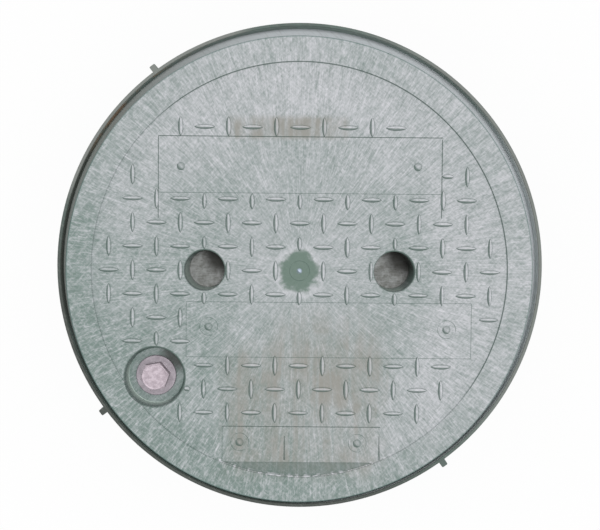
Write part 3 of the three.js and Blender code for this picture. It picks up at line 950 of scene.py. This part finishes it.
def clipped_bar(x, y, upright):
    """The longest free stretch of a bar, as (x, y, length), or None."""
    steps = 44
    run, best = [], []
    for index in range(steps + 1):
        along = (index / steps - 0.5) * BAR_LENGTH
        free = field_is_free(x, y + along) if upright else field_is_free(x + along, y)
        run = run + [along] if free else []
        best = max(best, run, key=len)
    if not best or best[-1] - best[0] < SHORTEST_BAR:
        return None
    middle = (best[0] + best[-1]) / 2
    length = best[-1] - best[0]
    return (x, y + middle, length) if upright else (x + middle, y, length)


def tread_points():
    points = []
    for row, runs in TREAD_ROWS.items():
        columns = [column for first, last in runs for column in range(first, last + 1)]
        for column in columns:
            upright = (row + column) % 2 == 1
            bar = clipped_bar(column * PITCH, (MIDDLE_ROW - row) * PITCH, upright)
            if bar:
                points.append((*bar, math.pi / 2 if upright else 0.0))
    return points


TREAD = tread_points()
print(len(TREAD), "tread bars")

# %% One bar and the tread tree


def bar_mesh():
    """A bar of unit length: pointed plan, soft slopes and a rounded crest, on a short root."""
    made = bmesh.new()
    along_steps, across_steps = 16, 10
    rows = []
    for i in range(along_steps + 1):
        u = -math.cos(math.pi * i / along_steps)
        half_width = BAR_WIDTH / 2 * max(1 - abs(u) ** 2.2, 0.03) ** 0.7
        crest = BAR_HEIGHT * (1 - abs(u) ** 4) ** 0.6
        row = []
        for j in range(across_steps + 1):
            v = -math.cos(math.pi * j / across_steps)
            row.append(made.verts.new((u / 2, half_width * v, crest * (1 - v * v) ** 0.85)))
        rows.append(row)
    for i in range(along_steps):
        for j in range(across_steps):
            made.faces.new((rows[i][j], rows[i + 1][j], rows[i + 1][j + 1], rows[i][j + 1]))
    rim = [edge for edge in made.edges if edge.is_boundary]
    grown = bmesh.ops.extrude_edge_only(made, edges=rim)["geom"]
    for vert in (item for item in grown if isinstance(item, bmesh.types.BMVert)):
        vert.co.z = -BAR_ROOT
    bmesh.ops.holes_fill(made, edges=[edge for edge in made.edges if edge.is_boundary])
    return object_from_bmesh("one_bar", made)


def random_share(tree, given_seed, shift, spread):
    """A random factor between 1 - spread and 1 for each instance."""
    seed = math_out(tree, "ADD", given_seed, shift)
    low = math_out(tree, "SUBTRACT", 1.0, spread)
    made = add(tree, "FunctionNodeRandomValue", {2: low, 3: 1.0, "Seed": seed}, data_type="FLOAT")
    return made.outputs[1]


def tread_tree(bar):
    tree = bpy.data.node_groups.new("tread", "GeometryNodeTree")
    for label, kind in (("Geometry", "Geometry"), ("Height variation", "Float"), ("Width variation", "Float"),
                        ("Seed", "Int"), ("Material", "Material")):
        tree.interface.new_socket(label, in_out="INPUT", socket_type="NodeSocket" + kind)
    tree.interface.new_socket("Geometry", in_out="OUTPUT", socket_type="NodeSocketGeometry")
    given = tree.nodes.new("NodeGroupInput").outputs
    out = tree.nodes.new("NodeGroupOutput").inputs
    source = add(tree, "GeometryNodeObjectInfo", {"Object": bar}).outputs["Geometry"]
    turn = add(tree, "GeometryNodeInputNamedAttribute", {"Name": "turn"}, data_type="FLOAT").outputs[0]
    length = add(tree, "GeometryNodeInputNamedAttribute", {"Name": "length"}, data_type="FLOAT").outputs[0]
    rotation = add(tree, "ShaderNodeCombineXYZ", {2: turn}).outputs[0]
    width = random_share(tree, given["Seed"], 0.0, given["Width variation"])
    height = random_share(tree, given["Seed"], 7.0, given["Height variation"])
    size = add(tree, "ShaderNodeCombineXYZ", {0: length, 1: width, 2: height}).outputs[0]
    placed = add(tree, "GeometryNodeInstanceOnPoints",
                 {"Points": given["Geometry"], "Instance": source, "Rotation": rotation, "Scale": size})
    real = add(tree, "GeometryNodeRealizeInstances", {0: placed.outputs[0]})
    finished = add(tree, "GeometryNodeSetMaterial",
                   {"Geometry": real.outputs[0], "Material": given["Material"]})
    tree.links.new(finished.outputs[0], out[0])
    return tree


def run_tree(holder, tree, values):
    """Runs a Geometry Nodes tree on an object and leaves the plain mesh that it makes."""
    step = holder.modifiers.new("nodes", "NODES")
    step.node_group = tree
    for item in tree.interface.items_tree:
        if item.in_out == "INPUT" and item.name in values:
            step[item.identifier] = values[item.name]
    shape = plain_copy(holder)
    holder.modifiers.clear()
    old = holder.data
    holder.data = shape
    bpy.data.meshes.remove(old)
    return holder


def build_tread():
    base = bpy.data.meshes.new("tread_points")
    base.from_pydata([(COVER_CENTRE.x + x, COVER_CENTRE.y + y, FIELD_TOP) for x, y, _, _ in TREAD], [], [])
    base.attributes.new("length", "FLOAT", "POINT").data.foreach_set("value", [point[2] for point in TREAD])
    base.attributes.new("turn", "FLOAT", "POINT").data.foreach_set("value", [point[3] for point in TREAD])
    bar = bar_mesh()
    sizes = {"Height variation": 0.3, "Width variation": 0.2, "Seed": 4, "Material": COVER_PLASTIC}
    bars = run_tree(object_from("tread_bars", base), tread_tree(bar), sizes)
    bpy.data.objects.remove(bar)
    return smooth(bars, math.radians(60))


tread_bars = build_tread()
hand_over(tread_bars, "cover", COVER_PLASTIC)

# %% [markdown]
# ## The frame ring
# A short collar with a ledge for the lid, three upright ribs outside, gussets under the ledge and
# a boss with a side slot for the nut. It is turned like the lid and the rest is joined on; the
# notch for the bolt cup, the bore and the slot are cut last. The rim is a darker green than the
# lid, with painted shade towards the lower left. The wall inside it is a stained grey-green,
# darker at the left and brown at the upper left; at the right, where it faces away from the sun,
# it is painted near white as painted light. The ledge is painted pale as painted light, palest at
# the upper right.

# %% Ring plastic
RIM_GREEN = srgb(88, 104, 98)
RIM_DARK = srgb(58, 60, 56)
RIM_PALE = srgb(136, 138, 134)
WALL_GREEN = srgb(150, 166, 160)
WALL_DARK = srgb(104, 106, 98)
WALL_BROWN = srgb(186, 152, 124)
WALL_PAINTED_LIGHT = srgb(246, 248, 250)
LEDGE_PAINTED_LIGHT = srgb(206, 210, 214)
LEDGE_DULL = srgb(134, 140, 136)


def ring_plastic():
    material, tree, shader = new_material("stained_ring_plastic", 0.7)
    where = add(tree, "ShaderNodeTexCoord").outputs["Object"]
    radius, height = flat_radius(tree, where)
    outward = vector_out(tree, "NORMALIZE", vector_out(tree, "MULTIPLY", where, (1, 1, 0)))
    stain = place_group(tree, BLOTCHES, {"Vector": where, "Per metre": 45.0})
    fibre = place_group(tree, FIBRE_SCRATCHES, {"Vector": where, "Turn": 0.8})

    def towards(degrees, low, high):
        """A share that grows near one direction from the middle of the ring."""
        direction = (math.cos(math.radians(degrees)), math.sin(math.radians(degrees)), 0)
        return ramp_out(tree, vector_out(tree, "DOT_PRODUCT", outward, direction), low, high)

    plain = mix_out(tree, share_of(tree, stain, 0.4), RIM_GREEN, RIM_DARK)
    # Painted shade: the rim darkens towards the lower left.
    rim = mix_out(tree, share_of(tree, towards(235, 0.2, 0.75), 0.8), plain, RIM_DARK)
    rim = mix_out(tree, share_of(tree, towards(15, 0.35, 0.8), 0.6), rim, RIM_PALE)
    rim = mix_out(tree, share_of(tree, towards(133, 0.84, 0.9), 0.7), rim, RIM_PALE)
    wall = mix_out(tree, share_of(tree, stain, 0.3), WALL_GREEN, WALL_DARK)
    wall = mix_out(tree, share_of(tree, towards(172, 0.9, 0.96), 0.8), wall, WALL_DARK)
    brown = math_out(tree, "MULTIPLY", towards(134, 0.94, 0.985), ramp_out(tree, stain, 0.1, 0.6))
    wall = mix_out(tree, share_of(tree, brown, 0.9), wall, WALL_BROWN)
    # Painted light: the wall at the right, which faces away from the sun, is painted near white.
    wall = mix_out(tree, towards(-25, 0.3, 0.75), wall, WALL_PAINTED_LIGHT)
    below_rim = ramp_out(tree, height, RING_TOP - 0.5 * MM, RING_TOP - 1.0 * MM)
    colour = mix_out(tree, below_rim, rim, wall)
    on_ledge = ramp_out(tree, height, LEDGE_TOP + 0.6 * MM, LEDGE_TOP + 0.2 * MM)
    in_gap = ramp_out(tree, radius, SKIRT_RADIUS, SKIRT_RADIUS + 6 * MM)
    # Painted light: the ledge is palest at the upper right and duller on the far side.
    ledge = mix_out(tree, towards(35, -0.35, 0.6), LEDGE_DULL, LEDGE_PAINTED_LIGHT)
    colour = mix_out(tree, math_out(tree, "MULTIPLY", on_ledge, in_gap), colour, ledge)
    outside = ramp_out(tree, radius, RING_RADIUS - 0.6 * MM, RING_RADIUS - 0.3 * MM)
    outside = math_out(tree, "MULTIPLY", outside, ramp_out(tree, height, RING_TOP, RING_TOP - 2 * MM))
    outside = math_out(tree, "MAXIMUM", outside, ramp_out(tree, height, LEDGE_BOTTOM + 1 * MM, LEDGE_BOTTOM))
    colour = mix_out(tree, outside, colour, plain)
    pale_fibre = ramp_out(tree, fibre, 0.5, 0.75)
    colour = mix_out(tree, share_of(tree, pale_fibre, 0.25), colour, RIM_PALE)
    tree.links.new(colour, shader.inputs["Base Color"])
    return material


RING_PLASTIC = ring_plastic()
print(RING_PLASTIC.name, len(RING_PLASTIC.node_tree.nodes), "nodes")

# %% Frame ring
RIB_PROUD = 3.3 * MM
RIB_WIDTH = 3.5 * MM
RIB_CORNER = 0.7 * MM
RIB_TURNS = (-math.pi / 2, 0, math.pi / 2)
GUSSETS = 16
GUSSET_HEIGHT = 18 * MM
GUSSET_WIDTH = 3 * MM
GUSSET_SETBACK = 2 * MM
NUT_SLOT_WIDTH = 16.5 * MM
BOSS_RADIUS = NUT_SLOT_WIDTH / math.sqrt(2) + 3.5 * MM
BOSS_LOW = nut_low.z - 4 * MM
BOSS_HIGH = nut_high.z + 4 * MM


def collar():
    bead = RING_RADIUS - BEAD_WIDTH
    corners = [(bead, ring_low.z, 0.4 * MM), (RING_RADIUS, ring_low.z, 0.4 * MM),
               (RING_RADIUS, RING_TOP, 0.45 * MM), (RING_BORE, RING_TOP, 0.45 * MM),
               (RING_BORE, LEDGE_TOP, 0.5 * MM), (LEDGE_BORE, LEDGE_TOP, 0.5 * MM),
               (LEDGE_BORE, LEDGE_BOTTOM, 0.5 * MM), (LOWER_BORE, LEDGE_BOTTOM, 0.5 * MM),
               (LOWER_BORE, ring_low.z + BEAD_HEIGHT, 0.5 * MM),
               (bead, ring_low.z + BEAD_HEIGHT, 0.5 * MM)]
    return turned("frame_shell", softened(corners), ORIGIN)


def outer_ribs():
    inner, outer = RING_RADIUS - OVERLAP, RING_RADIUS + RIB_PROUD
    half = RIB_WIDTH / 2
    near, far = 0.2 * RIB_CORNER, RIB_CORNER
    outline = [(inner, -half), (outer - far, -half), (outer - near, -half + near), (outer, -half + far),
               (outer, half - far), (outer - near, half - near), (outer - far, half), (inner, half)]
    ribs = []
    for turn in RIB_TURNS:
        cosine, sine = math.cos(BOLT_ANGLE + turn), math.sin(BOLT_ANGLE + turn)
        turned_outline = [(x * cosine - y * sine, x * sine + y * cosine) for x, y in outline]
        ribs.append(extruded("outer_rib", turned_outline, ring_low.z, RING_TOP))
    return ribs


def gussets():
    """Fins under the ledge; none stands where the bolt boss is."""
    fins = []
    outline = [(LEDGE_BORE + GUSSET_SETBACK, LEDGE_BOTTOM + OVERLAP),
               (LOWER_BORE + OVERLAP, LEDGE_BOTTOM - GUSSET_HEIGHT),
               (LOWER_BORE + OVERLAP, LEDGE_BOTTOM + OVERLAP)]
    for index in range(1, GUSSETS):
        fin = extruded("gusset", outline, -GUSSET_WIDTH / 2, GUSSET_WIDTH / 2)
        around = Matrix.Rotation(NUT_ANGLE + 2 * math.pi * index / GUSSETS, 4, "Z")
        fin.data.transform(around @ Matrix.Rotation(math.pi / 2, 4, "X"))
        fins.append(fin)
    return fins


def bolt_boss():
    column = upright_cylinder("boss", BOSS_RADIUS, BOSS_LOW, BOSS_HIGH, BOLT_AXIS, 64)
    reach = LOWER_BORE + OVERLAP - BOLT_DISTANCE
    middle = Vector((BOLT_DISTANCE + reach / 2, 0, (BOSS_LOW + BOSS_HIGH) / 2))
    arm = block("boss_arm", (reach, 2 * BOSS_RADIUS, BOSS_HIGH - BOSS_LOW), middle, NUT_ANGLE)
    return [column, arm]


def ring_cutters():
    notch = upright_cylinder("notch", SEAT_RADIUS + CUP_WALL + 2 * MM, LEDGE_BOTTOM - GUSSET_HEIGHT,
                             LEDGE_TOP + 1 * MM, BOLT_AXIS, 96)
    bore = upright_cylinder("bore", BOLT_HOLE_RADIUS, BOSS_LOW - OVERLAP, BOSS_HIGH + OVERLAP, BOLT_AXIS, 48)
    slot_start = BOLT_DISTANCE - BOSS_RADIUS - 1 * MM
    slot_end = BOLT_DISTANCE + NUT_SLOT_WIDTH / 2
    slot_top = nut_high.z + 0.3 * MM
    slot = block("slot", (slot_end - slot_start, NUT_SLOT_WIDTH, slot_top - nut_low.z),
                 Vector(((slot_start + slot_end) / 2, 0, (slot_top + nut_low.z) / 2)), NUT_ANGLE)
    return [notch, bore, slot]


def build_ring():
    ring = boolean(collar(), outer_ribs() + gussets() + bolt_boss(), "UNION")
    boolean(ring, ring_cutters(), "DIFFERENCE")
    return smooth(ring)


ring = build_ring()
hand_over(ring, "frame", RING_PLASTIC, ["frame_ring"])

# %% [markdown]
# ## Bolt, washer, keeper and nut
# The bolt has a hex head with a turned chamfer and six plain dashes on top. Its thread is in the
# mesh: the shank's radius follows from the angle and the height. Its steel has gone dull and
# pinkish. The washer is pressed, so its edges are round. The keeper and the nut are the mechanical
# nodes themselves, with a metal on.

# %% Metal finishes
SPECK_BROWN = srgb(120, 108, 110)
SHADE_STEEL = srgb(110, 112, 122)


def worn_metal_with_shade(name, bright, dull, metallic, roughness, per_metre=450.0):
    material, tree, shader = new_material(name, roughness, metallic)
    where = add(tree, "ShaderNodeTexCoord").outputs["Object"]
    centred = add(tree, "ShaderNodeMapping", {"Vector": where, "Location": -BOLT_AXIS}).outputs[0]
    stain = place_group(tree, BLOTCHES, {"Vector": centred, "Per metre": per_metre})
    speck = place_group(tree, BLOTCHES, {"Vector": centred, "Per metre": 2200.0, "Low": 0.5, "High": 0.8})
    colour = mix_out(tree, stain, bright, dull)
    colour = mix_out(tree, share_of(tree, speck, 0.35), colour, SPECK_BROWN)
    # Painted shade: sides that face away from the sun are mixed towards a darker steel.
    side = place_group(tree, SUN_SIDE, {})
    colour = mix_out(tree, share_of(tree, ramp_out(tree, side, 0.4, 0.1), 0.3), colour, SHADE_STEEL)
    tree.links.new(colour, shader.inputs["Base Color"])
    return material


BOLT_STEEL = worn_metal_with_shade("dull_steel", srgb(186, 174, 182), srgb(158, 146, 154), 0.35, 0.5)
WASHER_STEEL = worn_metal_with_shade("dull_washer_steel", srgb(160, 152, 159), srgb(138, 130, 137), 0.35, 0.5, 250.0)
KEEPER_STEEL = worn_metal_with_shade("spring_steel", srgb(150, 152, 155), srgb(110, 112, 116), 0.9, 0.4)
NUT_BRASS = worn_metal_with_shade("brass", srgb(196, 160, 96), srgb(150, 118, 70), 0.9, 0.4)
print("metals", [metal.name for metal in (BOLT_STEEL, WASHER_STEEL, KEEPER_STEEL, NUT_BRASS)])

# %% Bolt
ACROSS_FLATS = 14.3 * MM
HEAD_TURN = math.radians(10)
HEAD_CHAMFER = 1.1 * MM
BOLT_RADIUS = 4.76 * MM
THREAD_PITCH = 25.4 / 16 * MM
THREAD_DEPTH = 0.9 * MM
THREAD_TOP = bolt_low.z + 25.4 * MM
END_CHAMFER = 0.9 * MM
ROWS_PER_PITCH = 10
# six plain dashes on the head
DASH_SIZE = (1.7 * MM, 0.35 * MM, 0.3 * MM)
DASH_OUT = 4.4 * MM
HEAD_LOW = washer_high.z


def bolt_head():
    corner = ACROSS_FLATS / math.sqrt(3)
    angles = [HEAD_TURN + math.pi / 3 * index for index in range(6)]
    outline = [(corner * math.cos(angle), corner * math.sin(angle)) for angle in angles]
    head = extruded("hex_bolt", outline, HEAD_LOW, bolt_high.z, BOLT_AXIS)
    flat = ACROSS_FLATS / 2
    corners = [(0, HEAD_LOW - 1 * MM, 0), (corner + 1 * MM, HEAD_LOW - 1 * MM, 0),
               (corner + 1 * MM, bolt_high.z - HEAD_CHAMFER, 0), (flat - 0.2 * MM, bolt_high.z, 0.5 * MM),
               (flat - 1.0 * MM, bolt_high.z - 0.12 * MM, 0.3 * MM), (0, bolt_high.z - 0.12 * MM, 0)]
    boolean(head, [turned("chamfer", softened(corners), BOLT_AXIS, 96)], "INTERSECT")
    middle = Vector((DASH_OUT, 0, bolt_high.z - 0.17 * MM))
    dashes = [block("dash", DASH_SIZE, middle, angle + math.pi / 6, BOLT_AXIS) for angle in angles]
    return boolean(head, dashes, "UNION")


def thread_radius(angle, height):
    """Radius of the threaded shank: a rounded V that climbs one pitch a turn."""
    phase = ((height - bolt_low.z) / THREAD_PITCH - angle / (2 * math.pi)) % 1.0
    groove = (0.5 + 0.5 * math.cos(2 * math.pi * phase)) ** 0.8
    fade = min(1.0, max(0.0, (THREAD_TOP - height) / THREAD_PITCH))
    end_limit = BOLT_RADIUS - max(0.0, END_CHAMFER - (height - bolt_low.z))
    return min(BOLT_RADIUS - THREAD_DEPTH * groove * fade, end_limit)


def threaded_shank():
    made = bmesh.new()
    around = 48
    climb = THREAD_TOP - bolt_low.z
    rows = int(climb / THREAD_PITCH * ROWS_PER_PITCH)
    heights = [bolt_low.z + climb * row / rows for row in range(rows + 1)]
    heights.append(HEAD_LOW + OVERLAP)
    rings = []
    for height in heights:
        ring = []
        for step in range(around):
            angle = 2 * math.pi * step / around
            radius = thread_radius(angle, height)
            ring.append(made.verts.new((BOLT_AXIS.x + radius * math.cos(angle),
                                        BOLT_AXIS.y + radius * math.sin(angle), height)))
        rings.append(ring)
    for lower, upper in zip(rings, rings[1:]):
        for step in range(around):
            after = (step + 1) % around
            made.faces.new((lower[step], lower[after], upper[after], upper[step]))
    made.faces.new(rings[0])
    made.faces.new(rings[-1])
    return object_from_bmesh("shank", made)


bolt = smooth(boolean(bolt_head(), [threaded_shank()], "UNION"), math.radians(35))
hand_over(bolt, "bolt", BOLT_STEEL, ["cover_bolt"])

# %% Washer, keeper and nut
WASHER_BORE = BOLT_RADIUS + 0.5 * MM
WASHER_OUTER = (washer_high.x - washer_low.x) / 2
washer_corners = [(WASHER_BORE, washer_low.z, 0.3 * MM), (WASHER_OUTER, washer_low.z, 0.3 * MM),
                  (WASHER_OUTER, washer_high.z, 0.5 * MM), (WASHER_BORE, washer_high.z, 0.3 * MM)]
washer = smooth(turned("round_washer", softened(washer_corners), BOLT_AXIS, 96))
hand_over(washer, "washer", WASHER_STEEL, ["bolt_washer"])
for node_name, metal in (("bolt_keeper", KEEPER_STEEL), ("captive_nut", NUT_BRASS)):
    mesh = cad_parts[node_name].data
    mesh.materials.clear()
    mesh.materials.append(metal)
